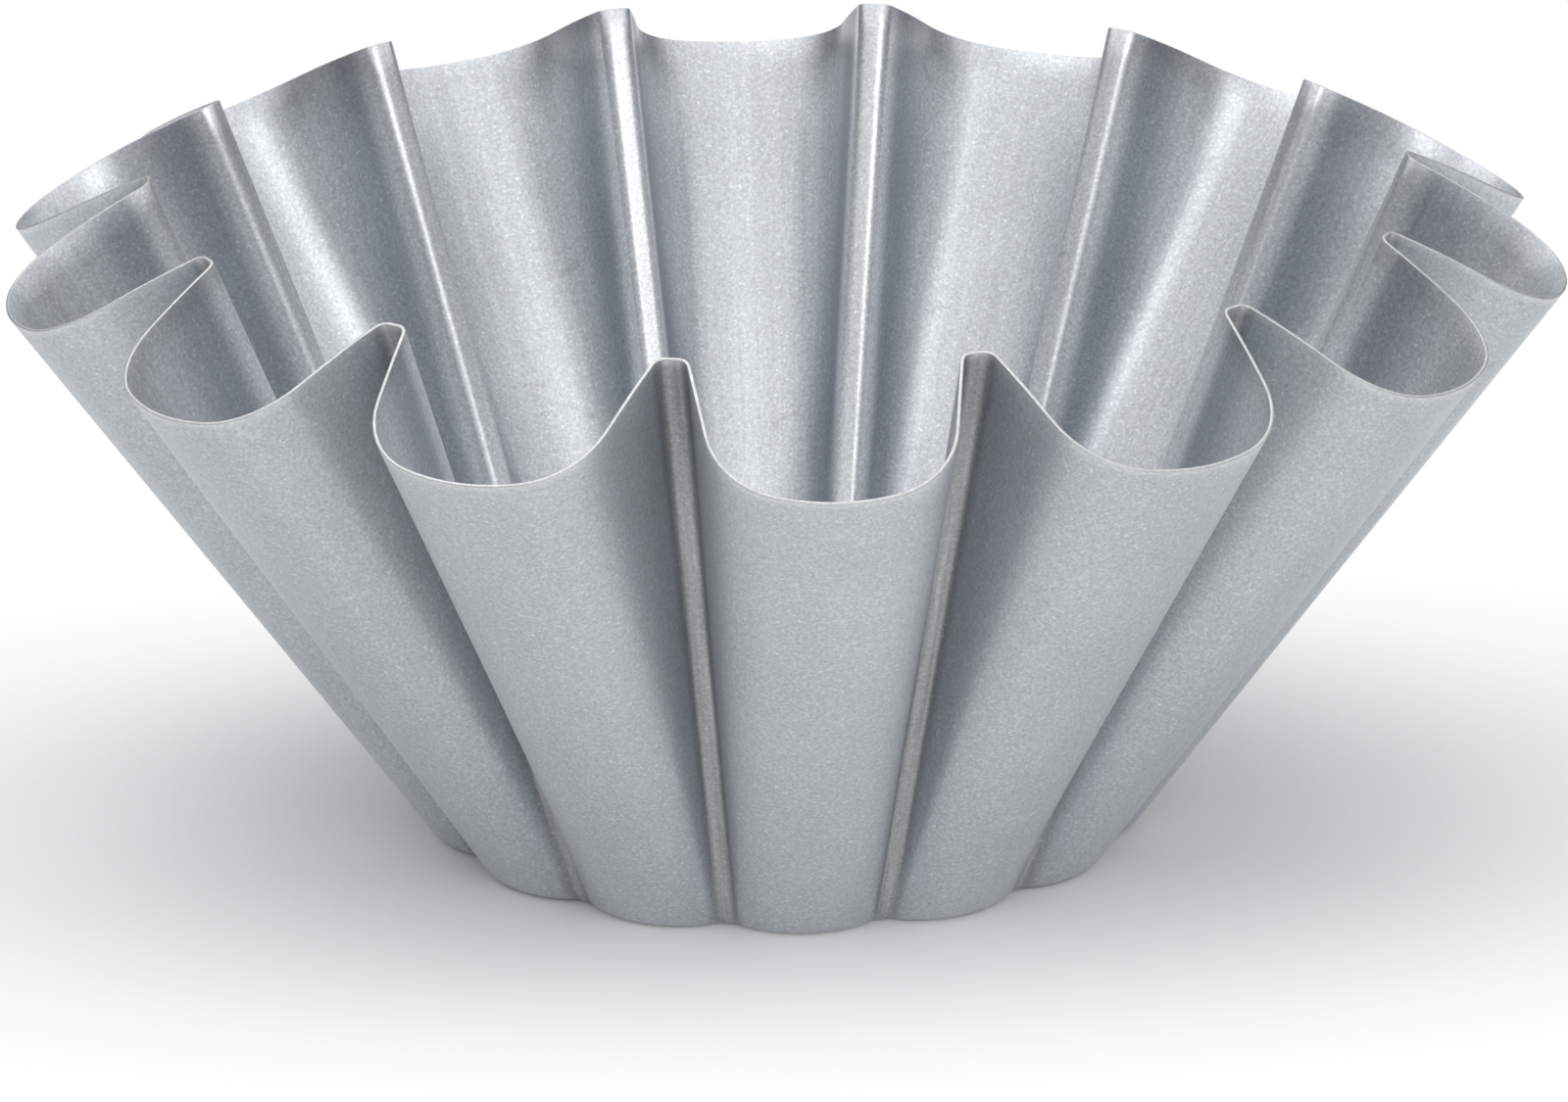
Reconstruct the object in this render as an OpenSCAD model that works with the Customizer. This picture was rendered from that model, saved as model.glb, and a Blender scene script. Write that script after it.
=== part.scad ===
// Fluted brioche mould: one deep-pressed sheet with a flat scalloped floor, a rounded foot
// and straight flaring walls, whose flutes are parted by narrow ribs that stand into the bowl.
// The floor's underside lies on the plane Z = 0 and the mould's axis is Z.

/* [Overall] */
// Outside diameter of the rim, across two opposite flutes
rim_d = 220; // [170:1:280]
// Diameter across two opposite flutes at the foot, where floor and wall would meet unrounded
foot_d = 101.8; // [80:0.1:130]
// Height of the rim at the middle of each flute
flute_h = 83.5; // [55:0.5:120]
// Extra height of the rim at the tips of the ribs
rib_rise = 12; // [0:0.5:20]
// Bow of the rim's climb from a flute to a rib, 0 for a straight climb
rise_bow = 0.18; // [0:0.01:0.5]

/* [Flutes] */
// Number of flutes
flute_count = 14; // [11:1:18]
// Radius of the flute's outer face at the rim
face_r = 27.7; // [23:0.1:60]
// Radius that turns the outer face into the flank at the rim
corner_r = 11.5; // [6:0.5:14]

/* [Ribs] */
// Depth of each rib at the rim, from the flutes' outer faces
rib_depth_rim = 21.3; // [12:0.1:28]
// Depth of each rib at the foot
rib_depth_foot = 2.7; // [2:0.1:6]
// Angle between a flank and the rib's middle plane at the rim
flank_a = 20.5; // [12:0.5:30]
// Width of the flat on each rib's tip at the rim
rib_flat_rim = 2.2; // [0.6:0.1:4]
// Width of the flat on each rib's tip at the foot
rib_flat_foot = 2.4; // [0.6:0.1:3]
// Radius between the flat and the flanks at the rim
rib_r_rim = 1.3; // [0.8:0.1:4]
// Radius between the flat and the flanks at the foot
rib_r_foot = 0.8; // [0.6:0.1:2]
// Length of the flank at the foot
flank_foot = 0.8; // [0.4:0.1:2]

/* [Sheet] */
// Thickness of the sheet
sheet = 0.5; // [0.3:0.05:1]
// Bend radius between the floor and the walls, at the middle of the sheet
foot_r = 3.4; // [1.5:0.1:5]

/* [Hidden] */
face_steps = 3;
corner_steps = 3;
rib_steps = 3;
bend_steps = 3;
wall_steps = 4;

half_a = 180 / flute_count;
// Flute 1 faces the front, -Y
front_a = -90;
rim_r = (rim_d - sheet) / 2;
foot_mid_r = foot_d / 2;
rib_axis = dir(half_a);
rib_side = dir(half_a - 90);
lobe_steps = face_steps + corner_steps;
last = lobe_steps + 1 + rib_steps + 1;

function dir(a) = [cos(a), sin(a)];
function unit(v) = v / norm(v);
function arc(centre, r, from, to, steps) =
    [for (i = [1:steps]) centre + r * dir(from + (to - from) * i / steps)];

// Half of a flute's outline at the rim, from the middle of its face to the middle of a rib.
function rim_half() =
    let (
        rib_c = (rim_r - rib_depth_rim + rib_r_rim) * rib_axis + rib_flat_rim / 2 * rib_side,
        along = dir(half_a - flank_a),
        inward = dir(half_a - flank_a - 90),
        flank_in = rib_c + rib_r_rim * inward,
        face_c = [rim_r - face_r, 0],
        start = flank_in + corner_r * inward - face_c,
        run = sqrt(pow(start * along, 2) - start * start + pow(face_r - corner_r, 2)) - start * along,
        flank_out = flank_in + run * along,
        corner_c = flank_out + corner_r * inward,
        turn = atan2(corner_c.y, corner_c.x - face_c.x)
    )
    concat(
        [[rim_r, 0]],
        arc(face_c, face_r, 0, turn, face_steps),
        arc(corner_c, corner_r, turn, half_a - flank_a + 90, corner_steps),
        [flank_in],
        arc(rib_c, rib_r_rim, half_a - flank_a - 90, half_a - 180, rib_steps),
        [(rim_r - rib_depth_rim) * rib_axis]
    );

// The same half outline at the foot, where one arc makes the whole face.
function foot_half() =
    let (
        rib_c = (foot_mid_r - rib_depth_foot + rib_r_foot) * rib_axis + rib_flat_foot / 2 * rib_side,
        gap = [foot_mid_r, 0] - rib_c,
        face_foot_r = (gap * gap - pow(rib_r_foot, 2) - pow(flank_foot, 2)) / 2 / (gap.x + rib_r_foot),
        face_c = [foot_mid_r - face_foot_r, 0],
        across = rib_c - face_c,
        turn = atan2(across.y, across.x) - atan2(flank_foot, face_foot_r + rib_r_foot),
        flank_in = rib_c - rib_r_foot * dir(turn)
    )
    concat(
        [[foot_mid_r, 0]],
        arc(face_c, face_foot_r, 0, turn, lobe_steps),
        [flank_in],
        arc(rib_c, rib_r_foot, turn - 180, half_a - 180, rib_steps),
        [(foot_mid_r - rib_depth_foot) * rib_axis]
    );

rim_side = rim_half();
foot_side = foot_half();

// Point number i of an outline: 0 is the middle of a face, and the outline runs on past each rib
// as its mirror image, so that a neighbour exists on both sides of every point.
function mirror_in_rib(p) = 2 * (p * rib_axis) * rib_axis - p;
function on_outline(side, i) =
    i < 0 ? let (p = on_outline(side, -i)) [p.x, -p.y] :
    i > last ? mirror_in_rib(side[2 * last - i]) :
    side[i];

function rim_z(p) =
    let (u = (rim_r - norm(p)) / rib_depth_rim)
    flute_h + rib_rise * (u + rise_bow * u * (1 - u));

function level(p, z) = [p.x, p.y, z];
function foot_point(i) = level(on_outline(foot_side, i), sheet / 2);
function rim_point(i) = let (p = on_outline(rim_side, i)) level(p, rim_z(p));
function wall_dir(i) = unit(rim_point(i) - foot_point(i));
function outward(i) =
    let (t = on_outline(foot_side, i + 1) - on_outline(foot_side, i - 1))
    unit([t.y, -t.x, 0]);

// The sheet's middle surface in rows: the floor's edge, the bend at the foot, the wall up to the rim.
bend_row = bend_steps;
rim_row = bend_steps + wall_steps;

function bend_angle(i) = acos(outward(i) * wall_dir(i));
function bend_leg(i) = foot_r * tan(bend_angle(i) / 2);
function rise_dir(i, row) =
    let (a = bend_angle(i), part = a * min(row / bend_row, 1))
    (sin(a - part) * outward(i) + sin(part) * wall_dir(i)) / sin(a);
function bend_point(i, row) =
    let (a = bend_angle(i), part = a * row / bend_row, leg = bend_leg(i))
    foot_point(i) - leg * outward(i)
    + foot_r * sin(part) * outward(i)
    + foot_r * (1 - cos(part)) * (wall_dir(i) - cos(a) * outward(i)) / sin(a);
function wall_point(i, row) =
    let (start = foot_point(i) + bend_leg(i) * wall_dir(i))
    start + (rim_point(i) - start) * (row - bend_row) / wall_steps;
function mid_point(i, row) = row <= bend_row ? bend_point(i, row) : wall_point(i, row);

function sheet_normal(i, row) =
    unit(cross(mid_point(i + 1, row) - mid_point(i - 1, row), rise_dir(i, row)));
function skin_point(i, row, side) = mid_point(i, row) + side * sheet / 2 * sheet_normal(i, row);

module base_panel() {
    edge = [
        for (k = [0:flute_count - 1], i = [-last:last - 1])
            let (p = bend_point(i, 0), a = 2 * half_a * k)
            [p.x * cos(a) - p.y * sin(a), p.x * sin(a) + p.y * cos(a)]
    ];
    color("silver") rotate(front_a) linear_extrude(sheet) polygon(edge);
}

module flute() {
    columns = 2 * last + 1;
    rows = rim_row + 1;
    skin = columns * rows;
    points = [
        for (side = [1, -1], row = [0:rim_row], i = [-last:last]) skin_point(i, row, side)
    ];
    function at(side, row, column) = side * skin + row * columns + column;
    function quad(a, b, c, d) = [[a, b, c], [a, c, d]];
    outer = [
        for (r = [0:rows - 2], c = [0:columns - 2])
            each quad(at(0, r, c), at(0, r + 1, c), at(0, r + 1, c + 1), at(0, r, c + 1))
    ];
    inner = [
        for (r = [0:rows - 2], c = [0:columns - 2])
            each quad(at(1, r, c), at(1, r, c + 1), at(1, r + 1, c + 1), at(1, r + 1, c))
    ];
    rim_and_foot = [
        for (c = [0:columns - 2]) each concat(
            quad(at(0, 0, c), at(0, 0, c + 1), at(1, 0, c + 1), at(1, 0, c)),
            quad(at(0, rows - 1, c), at(1, rows - 1, c), at(1, rows - 1, c + 1), at(0, rows - 1, c + 1))
        )
    ];
    ends = [
        for (r = [0:rows - 2]) each concat(
            quad(at(0, r, 0), at(1, r, 0), at(1, r + 1, 0), at(0, r + 1, 0)),
            quad(at(0, r, columns - 1), at(0, r + 1, columns - 1), at(1, r + 1, columns - 1), at(1, r, columns - 1))
        )
    ];
    color("silver") polyhedron(points, concat(outer, inner, rim_and_foot, ends));
}

base_panel();
for (i = [1:flute_count])
    rotate(front_a + 2 * half_a * (i - 1)) flute();
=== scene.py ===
import math

import bpy
from mathutils import Matrix, Vector, noise


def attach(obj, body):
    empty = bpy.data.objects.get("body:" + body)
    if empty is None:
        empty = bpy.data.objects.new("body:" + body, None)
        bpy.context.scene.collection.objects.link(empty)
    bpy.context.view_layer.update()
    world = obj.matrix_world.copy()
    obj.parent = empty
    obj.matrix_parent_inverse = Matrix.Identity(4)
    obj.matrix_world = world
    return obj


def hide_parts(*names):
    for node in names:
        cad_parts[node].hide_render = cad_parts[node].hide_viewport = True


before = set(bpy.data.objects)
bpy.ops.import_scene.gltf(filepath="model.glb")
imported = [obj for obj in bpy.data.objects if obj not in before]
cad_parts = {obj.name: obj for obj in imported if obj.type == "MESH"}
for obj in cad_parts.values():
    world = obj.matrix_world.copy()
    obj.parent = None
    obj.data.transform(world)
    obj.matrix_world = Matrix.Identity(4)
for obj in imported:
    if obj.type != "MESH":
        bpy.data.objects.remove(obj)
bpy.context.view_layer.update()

MM = 0.001

# Sizes in millimetres: the part's own, a hair inside its box, with the rib tips a little rounder
FLUTES = 14
SHEET = 0.5
LIFT = 0.002
RIM_R = 109.68
FOOT_R = 50.9
FLUTE_H = 83.4
RIB_RISE = 12.0
RISE_BOW = 0.18
FACE_R = 27.7
CORNER_R = 11.5
RIB_DEPTH_RIM = 21.3
RIB_DEPTH_FOOT = 2.7
RIB_FLAT_RIM = 1.5
RIB_FLAT_FOOT = 1.6
RIB_R_RIM = 1.75
RIB_R_FOOT = 1.2
FLANK_FOOT = 0.8
BEND_R = 3.4
EDGE_ROUND = 0.12
EDGE_STEPS = 2

# Slight waves that pressed sheet has: depth, how close they lie, and how fast they start at the foot
PRESS_WAVE = 0.07
WAVE_RATE = 0.035
WAVE_START = 6

HALF = math.pi / FLUTES
FRONT = -math.pi / 2
FLANK = math.radians(20.5)
RIB_AXIS = Vector((math.cos(HALF), math.sin(HALF)))
RIB_SIDE = Vector((math.sin(HALF), -math.cos(HALF)))

# Points across half a flute
FACE_STEPS = 8
CORNER_STEPS = 8
FLANK_STEPS = 4
RIB_STEPS = 8
FLAT_STEPS = 2
LAST = FACE_STEPS + CORNER_STEPS + FLANK_STEPS + RIB_STEPS + FLAT_STEPS
ACROSS = 2 * LAST
COLUMNS = ACROSS * FLUTES

# Rings from the middle of the floor, as shares of its outline, through the bend to the rim
FLOOR_RINGS = [0.02, 0.3, 0.6, 0.85, 0.95, 0.985]
FOOT_RING = len(FLOOR_RINGS)
BEND_RINGS = 6
WALL_RINGS = 22
WALL_RING = FOOT_RING + BEND_RINGS

# The plain tube before it is pressed, its rings 1 mm apart
TUBE_R = 50.0

# Sheet length for each millimetre of height
WALL_STRETCH = 1.2

# Colours of the outside
PALE_GREY = (0.52, 0.553, 0.58, 1)
# Painted shade: the darker grey of the bands alongside the grooves
GROOVE_SIDE_SHADE = (0.42, 0.46, 0.5, 1)
WORN_DARK = (0.38, 0.39, 0.4, 1)
WORN_LIGHT = (0.56, 0.57, 0.58, 1)
# Painted shade in the upper part of the grooves
GROOVE_TOP_SHADE = (0.16, 0.165, 0.175, 1)
# Painted shade in the creases at the edges of the grooves
CREASE_SHADE = (0.2, 0.2, 0.205, 1)
SPOT_DARK = (0.1, 0.09, 0.08, 1)
RUBBED = (0.8, 0.81, 0.82, 1)
# Painted highlight along the lip at the rim
LIP_HIGHLIGHT = (0.8, 0.82, 0.84, 1)

# Colours of the inside and of the cut rim
# Painted light: these greys are lighter than the outside's, for the same coating on the side that faces
# the lamps
INNER_GREY = (0.585, 0.61, 0.64, 1)
INNER_LIGHT = (0.665, 0.69, 0.715, 1)
# Painted highlight on the rib crests inside
CREST_HIGHLIGHT = (0.77, 0.79, 0.81, 1)
# Painted shade on the rib flanks inside
FLANK_SHADE = (0.34, 0.365, 0.405, 1)
INNER_SPOT = (0.22, 0.21, 0.2, 1)
INNER_SCUFF = (0.42, 0.42, 0.43, 1)
CUT_DARK = (0.4, 0.41, 0.42, 1)
CUT_BRIGHT = (0.74, 0.75, 0.76, 1)

# Colours of the studio
WHITE = (1, 1, 1, 1)
FLOOR_PALE = (0.94, 0.94, 0.94, 1)
CARD_GREY = (0.13, 0.14, 0.155, 1)

# Where the softboxes point
LAMP_AIM = Vector((0, 0, 0.04))

# Outline of the flutes

def heading(angle):
    return Vector((math.cos(angle), math.sin(angle)))


def arc(centre, radius, start, end, steps):
    """Points on an arc after its start, the last one at its end."""
    return [centre + radius * heading(start + (end - start) * i / steps) for i in range(1, steps + 1)]


def straight(start, end, steps):
    """Points on a line after its start, the last one at its end."""
    return [start + (end - start) * i / steps for i in range(1, steps + 1)]


def rim_half():
    """Half of one flute at the rim, from the middle of its face to the middle of a rib."""
    rib_c = (RIM_R - RIB_DEPTH_RIM + RIB_R_RIM) * RIB_AXIS + RIB_FLAT_RIM / 2 * RIB_SIDE
    along = heading(HALF - FLANK)
    inward = heading(HALF - FLANK - math.pi / 2)
    flank_in = rib_c + RIB_R_RIM * inward
    face_c = Vector((RIM_R - FACE_R, 0))
    start = flank_in + CORNER_R * inward - face_c
    near = start.dot(along)
    run = math.sqrt(near ** 2 - start.dot(start) + (FACE_R - CORNER_R) ** 2) - near
    flank_out = flank_in + run * along
    corner_c = flank_out + CORNER_R * inward
    turn = math.atan2(corner_c.y, corner_c.x - face_c.x)
    points = [Vector((RIM_R, 0))]
    points += arc(face_c, FACE_R, 0, turn, FACE_STEPS)
    points += arc(corner_c, CORNER_R, turn, HALF - FLANK + math.pi / 2, CORNER_STEPS)
    points += straight(flank_out, flank_in, FLANK_STEPS)
    points += arc(rib_c, RIB_R_RIM, HALF - FLANK - math.pi / 2, HALF - math.pi, RIB_STEPS)
    points += straight(points[-1], (RIM_R - RIB_DEPTH_RIM) * RIB_AXIS, FLAT_STEPS)
    return points


def foot_half():
    """The same half outline at the foot, where one arc makes the whole face."""
    rib_c = (FOOT_R - RIB_DEPTH_FOOT + RIB_R_FOOT) * RIB_AXIS + RIB_FLAT_FOOT / 2 * RIB_SIDE
    gap = Vector((FOOT_R, 0)) - rib_c
    face_r = (gap.dot(gap) - RIB_R_FOOT ** 2 - FLANK_FOOT ** 2) / 2 / (gap.x + RIB_R_FOOT)
    face_c = Vector((FOOT_R - face_r, 0))
    across = rib_c - face_c
    turn = math.atan2(across.y, across.x) - math.atan2(FLANK_FOOT, face_r + RIB_R_FOOT)
    flank_in = rib_c - RIB_R_FOOT * heading(turn)
    points = [Vector((FOOT_R, 0))]
    points += arc(face_c, face_r, 0, turn, FACE_STEPS + CORNER_STEPS)
    points += straight(points[-1], flank_in, FLANK_STEPS)
    points += arc(rib_c, RIB_R_FOOT, turn - math.pi, HALF - math.pi, RIB_STEPS)
    points += straight(points[-1], (FOOT_R - RIB_DEPTH_FOOT) * RIB_AXIS, FLAT_STEPS)
    return points


def whole_ring(half):
    """The half outline mirrored and turned round the axis, starting at a rib."""
    ring = []
    for column in range(COLUMNS):
        flute, step = divmod(column, ACROSS)
        point = half[abs(step - LAST)].copy()
        if step < LAST:
            point.y = -point.y
        turn = FRONT + 2 * HALF * flute
        ring.append(Vector((
            point.x * math.cos(turn) - point.y * math.sin(turn),
            point.x * math.sin(turn) + point.y * math.cos(turn),
            0)))
    return ring


def shell_rings():
    """The sheet's middle surface as rings: floor, bend at the foot, wall up to the rim."""
    foot = whole_ring(foot_half())
    rim = whole_ring(rim_half())
    for point in foot:
        point.z = SHEET / 2 + LIFT
    for point in rim:
        climb = (RIM_R - point.to_2d().length) / RIB_DEPTH_RIM
        point.z = FLUTE_H + RIB_RISE * (climb + RISE_BOW * climb * (1 - climb))
    rings = [[None] * COLUMNS for _ in range(WALL_RING + 1 + WALL_RINGS)]
    for j in range(COLUMNS):
        along = foot[(j + 1) % COLUMNS] - foot[j - 1]
        outward = Vector((along.y, -along.x, 0)).normalized()
        wall = (rim[j] - foot[j]).normalized()
        bend = outward.angle(wall)
        leg = BEND_R * math.tan(bend / 2)
        side = (wall - math.cos(bend) * outward) / math.sin(bend)
        begin = foot[j] - leg * outward
        for k, share in enumerate(FLOOR_RINGS):
            rings[k][j] = Vector((begin.x * share, begin.y * share, begin.z))
        for k in range(BEND_RINGS + 1):
            part = bend * k / BEND_RINGS
            rings[FOOT_RING + k][j] = (
                begin + BEND_R * math.sin(part) * outward + BEND_R * (1 - math.cos(part)) * side)
        start = foot[j] + leg * wall
        for k in range(1, WALL_RINGS + 1):
            share = k / WALL_RINGS
            point = start + (rim[j] - start) * share
            push = PRESS_WAVE * noise.noise(point * WAVE_RATE) * min(1, WAVE_START * share)
            rings[WALL_RING + k][j] = point - max(push, 0) * outward
    return rings


def run_along(ring, count):
    """Distances along a ring from its first point, for that many points."""
    run = [0.0]
    for j in range(1, count):
        run.append(run[-1] + (ring[j % COLUMNS] - ring[j - 1]).length)
    return run


# The pressed shell

def plain_tube(ring_count):
    """A tube of that many rings, pulled up from a circle of edges."""
    bpy.ops.object.select_all(action="DESELECT")
    bpy.ops.mesh.primitive_circle_add(vertices=COLUMNS, radius=TUBE_R * MM, fill_type="NOTHING")
    tube = bpy.context.object
    tube.name = "pressed_mould"
    bpy.ops.object.mode_set(mode="EDIT")
    bpy.ops.mesh.select_all(action="SELECT")
    for _ in range(ring_count - 1):
        bpy.ops.mesh.extrude_region_move(TRANSFORM_OT_translate={"value": (0, 0, MM)})
    bpy.ops.object.mode_set(mode="OBJECT")
    return tube


def press_flutes(tube, rings):
    """Each point of the tube goes to its place in the rings, and keeps where on the sheet it lies:
    rib_gap is its distance from the nearest rib's middle, rise runs from 0 at the foot to 1 at the rim,
    and sheet_path is the way round and up the sheet."""
    flute_run = [run_along(ring, ACROSS + 1) for ring in rings]
    ring_run = run_along(rings[WALL_RING + WALL_RINGS // 2], COLUMNS)
    gaps, rises, paths = [], [], []
    for vertex in tube.data.vertices:
        row = round(vertex.co.z / MM)
        column = round(math.atan2(vertex.co.y, vertex.co.x) / math.tau * COLUMNS) % COLUMNS
        point = rings[row][column]
        run = flute_run[row]
        along = run[column % ACROSS]
        gaps.append(min(along, run[ACROSS] - along) * MM)
        rises.append(max(0.0, (row - FOOT_RING) / (BEND_RINGS + WALL_RINGS)))
        paths.extend((ring_run[column] * MM, point.z * MM * WALL_STRETCH, point.to_2d().length * MM))
        vertex.co = point * MM
    attributes = tube.data.attributes
    attributes.new("rib_gap", "FLOAT", "POINT").data.foreach_set("value", gaps)
    attributes.new("rise", "FLOAT", "POINT").data.foreach_set("value", rises)
    attributes.new("sheet_path", "FLOAT_VECTOR", "POINT").data.foreach_set("vector", paths)


def close_floor(shell, rings):
    """The innermost ring becomes one point, and the faces are turned to look out of the mould."""
    reach = (rings[0][0] + rings[1][0]).to_2d().length / 2 * MM
    bpy.ops.object.mode_set(mode="EDIT")
    bpy.ops.mesh.select_mode(type="VERT")
    bpy.ops.mesh.select_all(action="DESELECT")
    bpy.ops.object.mode_set(mode="OBJECT")
    for vertex in shell.data.vertices:
        vertex.select = vertex.co.to_2d().length < reach
    bpy.ops.object.mode_set(mode="EDIT")
    bpy.ops.mesh.merge(type="CENTER")
    bpy.ops.object.mode_set(mode="OBJECT")
    middle = min(shell.data.polygons, key=lambda face: face.center.to_2d().length)
    if middle.normal.z > 0:
        bpy.ops.object.mode_set(mode="EDIT")
        bpy.ops.mesh.select_all(action="SELECT")
        bpy.ops.mesh.flip_normals()
        bpy.ops.object.mode_set(mode="OBJECT")


def thicken(shell, outside, inside, rim):
    """The sheet gets its thickness and finishes, and the cut rim has its burr rounded off."""
    for finish in (outside, inside, rim):
        shell.data.materials.append(finish)
    thick = shell.modifiers.new("sheet", "SOLIDIFY")
    thick.thickness = SHEET * MM
    thick.offset = 0
    thick.use_even_offset = True
    thick.material_offset = 1
    thick.material_offset_rim = 2
    bpy.ops.object.modifier_apply(modifier=thick.name)
    bpy.ops.object.mode_set(mode="EDIT")
    bpy.ops.mesh.select_mode(type="EDGE")
    bpy.ops.mesh.select_all(action="DESELECT")
    bpy.ops.mesh.edges_select_sharp(sharpness=math.radians(60))
    bpy.ops.mesh.bevel(offset=EDGE_ROUND * MM, segments=EDGE_STEPS, affect="EDGES", material=2)
    bpy.ops.mesh.select_all(action="DESELECT")
    bpy.ops.object.mode_set(mode="OBJECT")
    bpy.ops.object.shade_smooth_by_angle(angle=math.radians(45))


def press_shell():
    """A plain tube is extruded ring by ring, pressed to the fluted form and thickened to the sheet."""
    rings = shell_rings()
    shell = plain_tube(len(rings))
    press_flutes(shell, rings)
    close_floor(shell, rings)
    thicken(shell, outer_coating(), inner_coating(), cut_edge())
    return shell


# Node helpers

def add(tree, kind, inputs=None, **settings):
    """A node with its settings and with its sockets set or linked."""
    made = tree.nodes.new(kind)
    for name, value in settings.items():
        setattr(made, name, value)
    for socket, value in (inputs or {}).items():
        if isinstance(value, bpy.types.NodeSocket):
            tree.links.new(value, made.inputs[socket])
        else:
            made.inputs[socket].default_value = value
    return made


def maths(tree, operation, first, second=0.0):
    return add(tree, "ShaderNodeMath", {0: first, 1: second}, operation=operation).outputs[0]


def times(tree, first, second):
    return maths(tree, "MULTIPLY", first, second)


def vector(tree, operation, first, second):
    return add(tree, "ShaderNodeVectorMath", {0: first, 1: second}, operation=operation).outputs[0]


def ramp(tree, value, low, high, to_low=0.0, to_high=1.0):
    """A smooth climb or fall of a value, from to_low at low to to_high at high."""
    made = add(
        tree, "ShaderNodeMapRange",
        {"Value": value, "From Min": low, "From Max": high, "To Min": to_low, "To Max": to_high},
        interpolation_type="SMOOTHSTEP")
    return made.outputs["Result"]


def blend(tree, amount, first, second, how="MIX"):
    """The first colour with that amount of the second."""
    made = add(
        tree, "ShaderNodeMix", {0: amount, 6: first, 7: second}, data_type="RGBA", blend_type=how)
    return made.outputs[2]


def shaded(tree, colour, shade):
    """A colour made lighter or darker by a shade near 1."""
    return blend(tree, 1.0, colour, shade, "MULTIPLY")


def cloud(tree, where, scale, detail, roughness=0.5):
    """The outputs of a noise texture."""
    return add(
        tree, "ShaderNodeTexNoise",
        {"Vector": where, "Scale": scale, "Detail": detail, "Roughness": roughness}).outputs


def object_place(tree):
    return add(tree, "ShaderNodeTexCoord").outputs["Object"]


def read(tree, name, output="Fac"):
    """What the shell's points keep under that name."""
    made = add(tree, "ShaderNodeAttribute", attribute_name=name, attribute_type="GEOMETRY")
    return made.outputs[output]


def new_group(name, inputs, outputs):
    """An empty shader group, whose sockets are all numbers."""
    tree = bpy.data.node_groups.new(name, "ShaderNodeTree")
    for socket, value in inputs.items():
        made = tree.interface.new_socket(socket, in_out="INPUT", socket_type="NodeSocketFloat")
        made.default_value = value
    for socket in outputs:
        tree.interface.new_socket(socket, in_out="OUTPUT", socket_type="NodeSocketFloat")
    entry = tree.nodes.new("NodeGroupInput")
    leave = tree.nodes.new("NodeGroupOutput")
    return tree, entry.outputs, leave.inputs


def use(tree, group, **values):
    """The outputs of a group, placed in a material with its own values."""
    made = tree.nodes.new("ShaderNodeGroup")
    made.node_tree = group
    for socket, value in values.items():
        made.inputs[socket].default_value = value
    return made.outputs


def new_material(name, **values):
    """A material with the plain values of its Principled shader set."""
    material = bpy.data.materials.new(name)
    material.use_nodes = True
    tree = material.node_tree
    shader = tree.nodes["Principled BSDF"]
    for socket, value in values.items():
        shader.inputs[socket.replace("_", " ")].default_value = value
    return material, tree, shader


def raise_surface(tree, shader, height, distance):
    """Fine relief on a finish."""
    bump = add(tree, "ShaderNodeBump", {"Height": height, "Distance": distance, "Strength": 0.5})
    tree.links.new(bump.outputs["Normal"], shader.inputs["Normal"])


# Effects that the finishes share

def speckle_group():
    """The coating's fine grain with painted glints on its lightest flecks, and a soft mottle under it.
    """
    tree, given, out = new_group(
        "fine_speckle", {"Grain": 2600.0, "Strength": 0.1, "Mottle": 0.05}, ["Shade", "Height"])
    spot = object_place(tree)
    grain = cloud(tree, spot, given["Grain"], 2.0, 0.7)["Fac"]
    mottle = cloud(tree, spot, 55.0, 4.0, 0.6)["Fac"]
    fine = times(tree, maths(tree, "SUBTRACT", grain, 0.5), given["Strength"])
    wide = times(tree, maths(tree, "SUBTRACT", mottle, 0.5), given["Mottle"])
    # Painted glints: the grain's lightest flecks made lighter still
    glint = times(tree, ramp(tree, grain, 0.6, 0.78, 0.0, 0.3), given["Strength"])
    shade = maths(tree, "ADD", maths(tree, "ADD", 1.0, glint), maths(tree, "ADD", fine, wide))
    tree.links.new(shade, out["Shade"])
    tree.links.new(grain, out["Height"])
    return tree


def streak_group():
    """Marks that the press draws up the wall, long along the wall and thin across it."""
    tree, given, out = new_group("drawing_streaks", {"Across": 900.0, "Along": 14.0}, ["Streak", "Fine"])
    path = read(tree, "sheet_path", "Vector")
    size = add(
        tree, "ShaderNodeCombineXYZ",
        {"X": given["Across"], "Y": given["Along"], "Z": given["Along"]}).outputs[0]
    spread = vector(tree, "MULTIPLY", path, size)
    tree.links.new(cloud(tree, spread, 0.35, 3.0, 0.6)["Fac"], out["Streak"])
    tree.links.new(cloud(tree, spread, 1.6, 4.0, 0.7)["Fac"], out["Fine"])
    return tree


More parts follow.
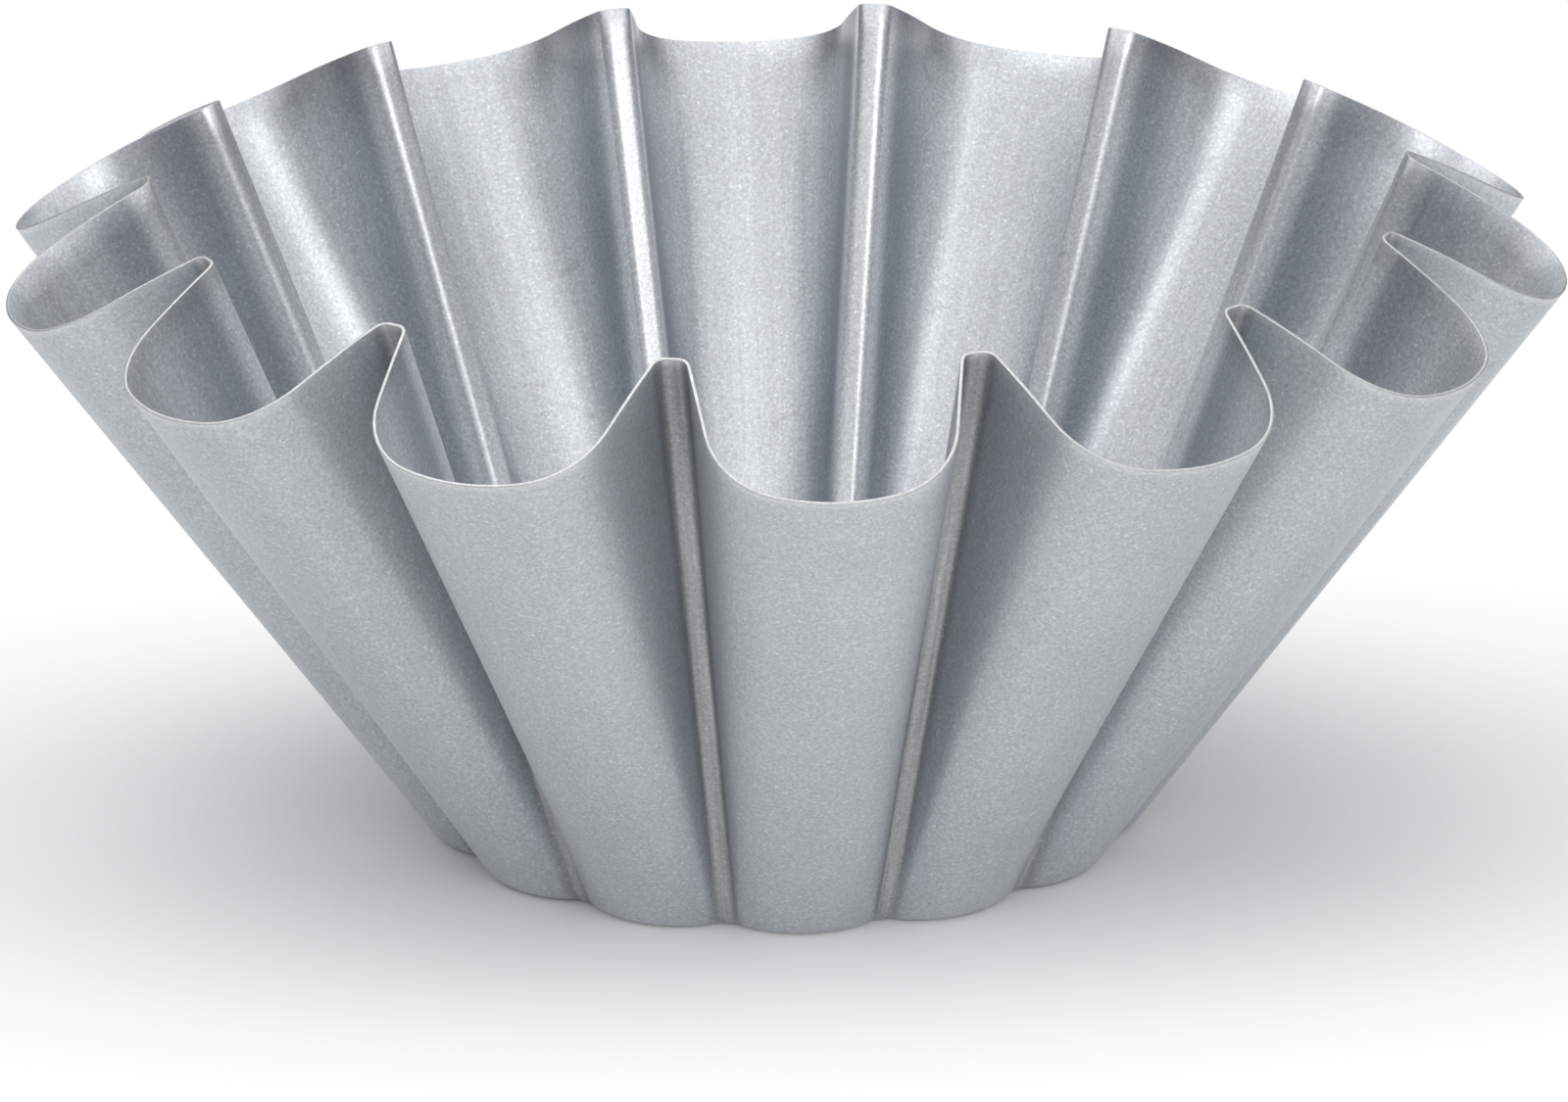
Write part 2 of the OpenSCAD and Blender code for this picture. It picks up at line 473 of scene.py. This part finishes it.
def mark_group():
    """Short scuffs and small dark spots from handling."""
    tree, given, out = new_group("handling_marks", {"Spots": 90.0, "Share": 0.1}, ["Scuff", "Spot"])
    spot = object_place(tree)
    shift = vector(tree, "MULTIPLY", cloud(tree, spot, 160.0, 2.0)["Color"], (0.006, 0.006, 0.006))
    bent = vector(tree, "ADD", spot, shift)
    cells = add(tree, "ShaderNodeTexVoronoi", {"Vector": bent, "Scale": given["Spots"]}, feature="F1")
    chance = add(tree, "ShaderNodeSeparateColor", {"Color": cells.outputs["Color"]}).outputs["Red"]
    rare = maths(tree, "LESS_THAN", chance, given["Share"])
    dot = ramp(tree, cells.outputs["Distance"], 0.02, 0.09, 1.0, 0.0)
    drawn = add(
        tree, "ShaderNodeMapping",
        {"Vector": bent, "Rotation": (0.5, 0.3, 0.9), "Scale": (60.0, 700.0, 240.0)}).outputs[0]
    hair = ramp(tree, cloud(tree, drawn, 1.0, 2.0)["Fac"], 0.66, 0.74)
    region = ramp(tree, cloud(tree, spot, 22.0, 1.0)["Fac"], 0.5, 0.62)
    tree.links.new(times(tree, hair, region), out["Scuff"])
    tree.links.new(times(tree, rare, dot), out["Spot"])
    return tree


# Finishes

def outer_coating():
    """Outside: pale satin grey, worn floors in the grooves with painted shade in their creases and
    towards the rim, painted shade in bands alongside the grooves and a painted highlight along the lip.
    """
    material, tree, shader = new_material("outer_coating", Metallic=0.6, Roughness=0.42)
    speckle = use(tree, SPECKLE, Grain=2100.0, Strength=0.85, Mottle=0.16)
    streak = use(tree, STREAK, Across=700.0, Along=16.0)
    marks = use(tree, MARKS, Spots=170.0, Share=0.12)
    rise = read(tree, "rise")
    above_foot = ramp(tree, rise, 0.02, 0.2)
    half_groove = ramp(tree, rise, 0.1, 1.0, 1.5 * MM, 2.4 * MM)
    past = maths(tree, "SUBTRACT", read(tree, "rib_gap"), half_groove)
    groove = times(tree, ramp(tree, past, -0.7 * MM, 0.4 * MM, 1.0, 0.0), above_foot)
    # Painted shade in bands alongside each groove, fading away from it and towards the foot
    beside_shade = times(tree, ramp(tree, past, 0.3 * MM, 7.5 * MM, 1.0, 0.0), ramp(tree, rise, 0.05, 0.4))
    # Painted shade along both edges of each groove, above the foot
    crease_shade = times(tree, ramp(tree, maths(tree, "ABSOLUTE", past), 0.0, 1.8 * MM, 0.5, 0.0), above_foot)
    # Painted shade: the grooves darker towards the rim, where they run deepest
    top = times(tree, groove, ramp(tree, rise, 0.75, 1.0, 0.0, 0.45))
    lip = ramp(tree, rise, 0.988, 0.999)

    colour = blend(tree, beside_shade, PALE_GREY, GROOVE_SIDE_SHADE)
    worn = blend(tree, ramp(tree, streak["Fine"], 0.3, 0.7), WORN_DARK, WORN_LIGHT)
    colour = blend(tree, groove, colour, worn)
    colour = blend(tree, top, colour, GROOVE_TOP_SHADE)
    colour = blend(tree, crease_shade, colour, CREASE_SHADE)
    colour = shaded(tree, colour, speckle["Shade"])
    spots = times(tree, marks["Spot"], ramp(tree, groove, 0.0, 1.0, 0.12, 0.9))
    colour = blend(tree, spots, colour, SPOT_DARK)
    colour = blend(tree, times(tree, marks["Scuff"], 0.25), colour, RUBBED)
    # Painted highlight along the lip at the rim
    colour = blend(tree, times(tree, lip, 0.25), colour, LIP_HIGHLIGHT)
    tree.links.new(colour, shader.inputs["Base Color"])

    rough = ramp(tree, streak["Streak"], 0.3, 0.7, 0.36, 0.46)
    rough = maths(tree, "ADD", rough, times(tree, groove, 0.06))
    rough = maths(tree, "SUBTRACT", rough, times(tree, lip, 0.12))
    tree.links.new(rough, shader.inputs["Roughness"])
    raise_surface(tree, shader, speckle["Height"], 0.06 * MM)
    return material


def inner_coating():
    """Inside: more metallic, and painted brighter than the outside as the side that faces the lamps,
    with drawing streaks up the wall, painted highlights on the slightly smoother rib crests and painted
    shade on the flanks next to them and on the floor.
    """
    material, tree, shader = new_material("inner_coating", Metallic=0.8, Roughness=0.38)
    speckle = use(tree, SPECKLE, Grain=2000.0, Strength=0.9, Mottle=0.24)
    streak = use(tree, STREAK, Across=800.0, Along=9.0)
    marks = use(tree, MARKS, Spots=60.0, Share=0.05)
    rise = read(tree, "rise")
    gap = read(tree, "rib_gap")
    wall = ramp(tree, rise, 0.05, 0.3)
    # Painted highlight along the middle of each rib inside, up the wall; the crests are also a little
    # smoother
    crest = times(tree, ramp(tree, gap, 2.5 * MM, 5.2 * MM, 1.0, 0.0), wall)
    # Painted shade on the flanks either side of each rib crest, up the wall
    flank_shade = times(
        tree, ramp(tree, gap, 3.5 * MM, 6.5 * MM), ramp(tree, gap, 7.5 * MM, 16.5 * MM, 0.85, 0.0))
    lines = times(tree, ramp(tree, streak["Streak"], 0.25, 0.75), wall)

    colour = blend(tree, lines, INNER_GREY, INNER_LIGHT)
    colour = blend(tree, times(tree, crest, 0.7), colour, CREST_HIGHLIGHT)
    colour = blend(tree, times(tree, flank_shade, wall), colour, FLANK_SHADE)
    colour = shaded(tree, colour, ramp(tree, streak["Fine"], 0.3, 0.7, 0.95, 1.04))
    # Painted shade: the floor inside darker, easing off up the bend towards the wall
    colour = shaded(tree, colour, ramp(tree, rise, 0.0, 0.15, 0.78, 1.0))
    colour = shaded(tree, colour, speckle["Shade"])
    colour = blend(tree, times(tree, marks["Spot"], 0.6), colour, INNER_SPOT)
    colour = blend(tree, times(tree, marks["Scuff"], 0.4), colour, INNER_SCUFF)
    tree.links.new(colour, shader.inputs["Base Color"])

    rough = ramp(tree, streak["Streak"], 0.25, 0.75, 0.36, 0.44)
    rough = maths(tree, "SUBTRACT", rough, times(tree, crest, 0.04))
    tree.links.new(rough, shader.inputs["Roughness"])
    height = maths(tree, "ADD", times(tree, lines, 0.2), times(tree, speckle["Height"], 0.8))
    raise_surface(tree, shader, height, 0.05 * MM)
    return material


def cut_edge():
    """The rim: bare sheared steel with fine burr lines."""
    material, tree, shader = new_material("cut_edge", Metallic=0.75, Roughness=0.5)
    speckle = use(tree, SPECKLE, Grain=3200.0, Strength=0.3, Mottle=0.3)
    streak = use(tree, STREAK, Across=2400.0, Along=60.0)
    colour = shaded(tree, blend(tree, streak["Fine"], CUT_DARK, CUT_BRIGHT), speckle["Shade"])
    tree.links.new(colour, shader.inputs["Base Color"])
    tree.links.new(ramp(tree, streak["Streak"], 0.3, 0.7, 0.38, 0.55), shader.inputs["Roughness"])
    raise_surface(tree, shader, streak["Fine"], 0.03 * MM)
    return material


SPECKLE = speckle_group()
STREAK = streak_group()
MARKS = mark_group()
shell = press_shell()
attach(shell, "root")
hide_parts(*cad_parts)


# Studio

def white_where_seen(tree):
    """1 where the camera, or metal or glass, looks straight at a thing."""
    path = tree.nodes.new("ShaderNodeLightPath").outputs
    seen = maths(tree, "MAXIMUM", path["Is Camera Ray"], path["Is Glossy Ray"])
    return maths(tree, "MAXIMUM", seen, path["Is Transmission Ray"])


def mix_into(tree, amount, plain, white, output):
    """The output shows the plain shader with that amount of the white one."""
    mixed = add(tree, "ShaderNodeMixShader", {0: amount})
    tree.links.new(plain.outputs[0], mixed.inputs[1])
    tree.links.new(white.outputs[0], mixed.inputs[2])
    tree.links.new(mixed.outputs[0], tree.nodes[output].inputs["Surface"])


def studio_floor():
    """A plain pale floor, a hair under the mould, that keeps the shadow and runs out to white."""
    bpy.ops.object.select_all(action="DESELECT")
    bpy.ops.mesh.primitive_plane_add(size=16, location=(0, 0, -0.05 * MM))
    floor = bpy.context.object
    floor.name = "studio_floor"
    bpy.ops.object.transform_apply(location=True, rotation=True, scale=True)
    material, tree, shader = new_material("studio_floor", Base_Color=FLOOR_PALE, Roughness=0.7)
    oval = vector(tree, "MULTIPLY", object_place(tree), (0.6, 1.3, 1.0))
    reach = add(tree, "ShaderNodeVectorMath", {0: oval}, operation="LENGTH").outputs["Value"]
    far = ramp(tree, reach, 0.04, 0.145)
    glow = add(tree, "ShaderNodeEmission", {"Color": WHITE, "Strength": 1.0})
    mix_into(tree, times(tree, far, white_where_seen(tree)), shader, glow, "Material Output")
    floor.data.materials.append(material)


def softbox(name, at, size, power):
    """A rectangular lamp that faces the mould."""
    facing = (LAMP_AIM - Vector(at)).to_track_quat("-Z", "Y").to_euler()
    bpy.ops.object.light_add(type="AREA", location=at, rotation=facing)
    lamp = bpy.context.object
    lamp.name = name
    lamp.data.shape = "RECTANGLE"
    lamp.data.size, lamp.data.size_y = size
    lamp.data.energy = power


def grey_surround():
    """A low ring of grey card out of the picture, which the metal's flanks show as darker bands."""
    bpy.ops.object.select_all(action="DESELECT")
    bpy.ops.mesh.primitive_cylinder_add(
        vertices=96, radius=0.9, depth=0.5, end_fill_type="NOTHING", location=(0, 0, 0.27))
    card = bpy.context.object
    card.name = "grey_surround"
    bpy.ops.object.transform_apply(location=True, rotation=True, scale=True)
    card.data.materials.append(new_material("grey_card", Base_Color=CARD_GREY, Roughness=0.9)[0])
    card.visible_camera = False
    card.visible_shadow = False
    card.visible_diffuse = False


def studio_world():
    """Soft even light all round, and plain white where the background is seen."""
    world = bpy.data.worlds.new("studio")
    bpy.context.scene.world = world
    world.use_nodes = True
    tree = world.node_tree
    soft = tree.nodes["Background"]
    soft.inputs["Color"].default_value = WHITE
    soft.inputs["Strength"].default_value = 0.66
    white = add(tree, "ShaderNodeBackground", {"Color": WHITE, "Strength": 1.0})
    mix_into(tree, white_where_seen(tree), soft, white, "World Output")


def photo_camera():
    """The camera at the photograph's viewing angle."""
    azimuth = math.radians(-3.663)
    elevation = math.radians(19.479)
    roll = math.radians(-0.118)
    distance = 1.0088
    height = 0.03832
    shift = 0.000211
    back = Vector((
        math.sin(azimuth) * math.cos(elevation),
        -math.cos(azimuth) * math.cos(elevation),
        math.sin(elevation)))
    right = Vector((math.cos(azimuth), math.sin(azimuth), 0))
    up = back.cross(right)
    target = Vector((0, 0, height)) + shift * right
    side = math.cos(roll) * right + math.sin(roll) * up
    top = -math.sin(roll) * right + math.cos(roll) * up
    bpy.ops.object.camera_add()
    camera = bpy.context.object
    camera.name = "photo_camera"
    camera.data.sensor_fit = "HORIZONTAL"
    camera.data.sensor_width = 36
    camera.data.lens = 162.43
    camera.data.clip_start = 0.05
    camera.data.clip_end = 50
    turned = Matrix((side, top, back)).transposed().to_4x4()
    camera.matrix_world = Matrix.Translation(target + distance * back) @ turned
    return camera


studio_floor()
softbox("top_softbox", (-0.15, 0.4, 1.15), (1.3, 1.1), 5.0)
softbox("front_softbox", (0.3, -1.2, 0.75), (1.0, 0.5), 4.2)
grey_surround()
studio_world()
bpy.context.scene.camera = photo_camera()
bpy.context.scene.view_settings.view_transform = "Standard"
